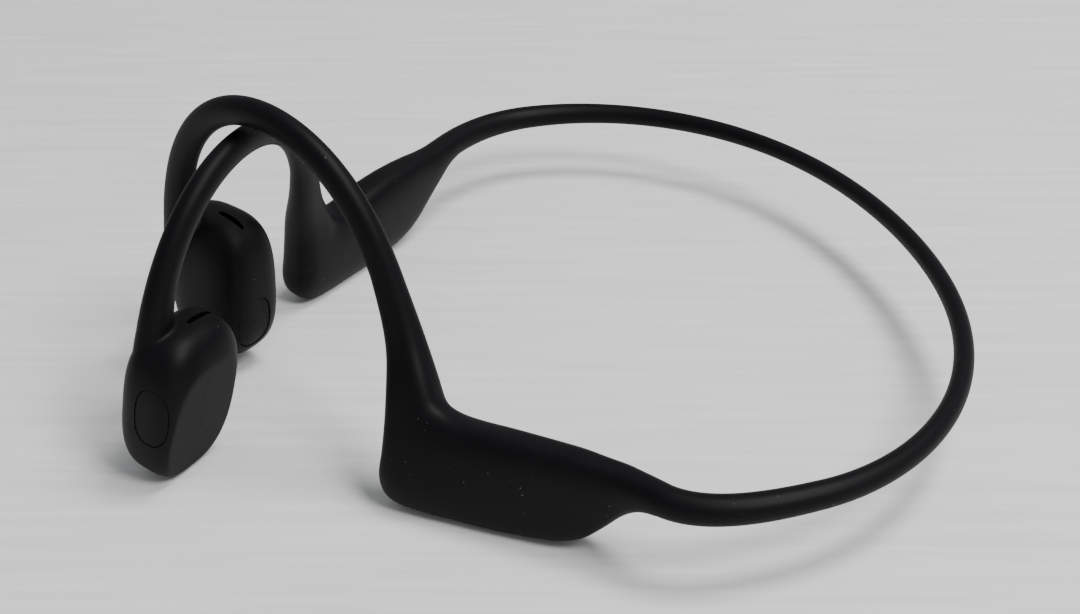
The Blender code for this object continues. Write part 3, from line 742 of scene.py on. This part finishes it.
# ------------------------------------------------------------------ table, light and camera
def table():
    n = Nodes("pale_table")
    stretch = n.tree.nodes.new("ShaderNodeMapping")
    stretch.vector_type = "TEXTURE"
    stretch.inputs["Scale"].default_value = (1.0, 20.0, 1.0)
    stretch.inputs["Rotation"].default_value = (0.0, 0.0, math.radians(-21.0))
    n.link(n.coord, stretch.inputs["Vector"])
    grain = n.tree.nodes.new("ShaderNodeTexNoise")
    grain.inputs["Scale"].default_value = 420.0
    grain.inputs["Detail"].default_value = 3.0
    n.link(stretch.outputs["Vector"], grain.inputs["Vector"])
    tone = n.ramp(grain.outputs["Fac"], ((0.3, (0.71, 0.705, 0.70)), (0.7, (0.80, 0.80, 0.80))))
    n.link(tone, n.bsdf.inputs["Base Color"])
    n.link(n.bump(grain.outputs["Fac"], 0.3, 0.0004), n.bsdf.inputs["Normal"])
    n.bsdf.inputs["Roughness"].default_value = 0.7
    bm = bmesh.new()
    bmesh.ops.create_grid(bm, x_segments=2, y_segments=2, size=4.0)
    mesh = bpy.data.meshes.new("table_top")
    bm.to_mesh(mesh)
    bm.free()
    mesh.materials.append(n.mat)
    obj = bpy.data.objects.new("table_top", mesh)
    obj.location.z = -TABLE_GAP
    bpy.context.scene.collection.objects.link(obj)


def area_light(name, at, size, power_w, aim=(0.0, 0.0, 0.0)):
    data = bpy.data.lights.new(name, "AREA")
    data.size = size
    data.energy = power_w
    obj = bpy.data.objects.new(name, data)
    obj.location = at
    obj.rotation_euler = (Vector(aim) - Vector(at)).to_track_quat("-Z", "Y").to_euler()
    bpy.context.scene.collection.objects.link(obj)


def lights():
    world = bpy.data.worlds.new("studio")
    world.use_nodes = True
    sky = world.node_tree.nodes["Background"]
    sky.inputs["Color"].default_value = (0.96, 0.98, 1.0, 1.0)
    sky.inputs["Strength"].default_value = 0.42
    bpy.context.scene.world = world
    area_light("overhead", (0.12, 0.42, 1.1), 0.36, 10.0)
    area_light("window", (0.75, 0.41, 1.0), 0.38, 11.0)


def camera():
    a, e = math.radians(VIEW_AZ_DEG), math.radians(VIEW_EL_DEG)
    back = Vector((math.sin(a) * math.cos(e), -math.cos(a) * math.cos(e), math.sin(e)))
    right = (-back).cross(Vector((0, 0, 1))).normalized()
    up = right.cross(-back)
    r = math.radians(VIEW_ROLL_DEG)
    x = right * math.cos(r) + up * math.sin(r)
    y = -right * math.sin(r) + up * math.cos(r)
    m = Matrix((x, y, back)).transposed().to_4x4()
    m.translation = Vector(VIEW_FROM_MM) * M
    data = bpy.data.cameras.new("view")
    data.lens = LENS_MM
    data.sensor_width = 36.0
    data.sensor_fit = "HORIZONTAL"
    data.clip_start = 0.01
    obj = bpy.data.objects.new("view", data)
    bpy.context.scene.collection.objects.link(obj)
    obj.matrix_world = m
    bpy.context.scene.camera = obj


dress_inner()
neckband()
arms()
for ear_name, ear_side in SIDES:
    earpiece(ear_name, ear_side)
keys()
table()
lights()
camera()
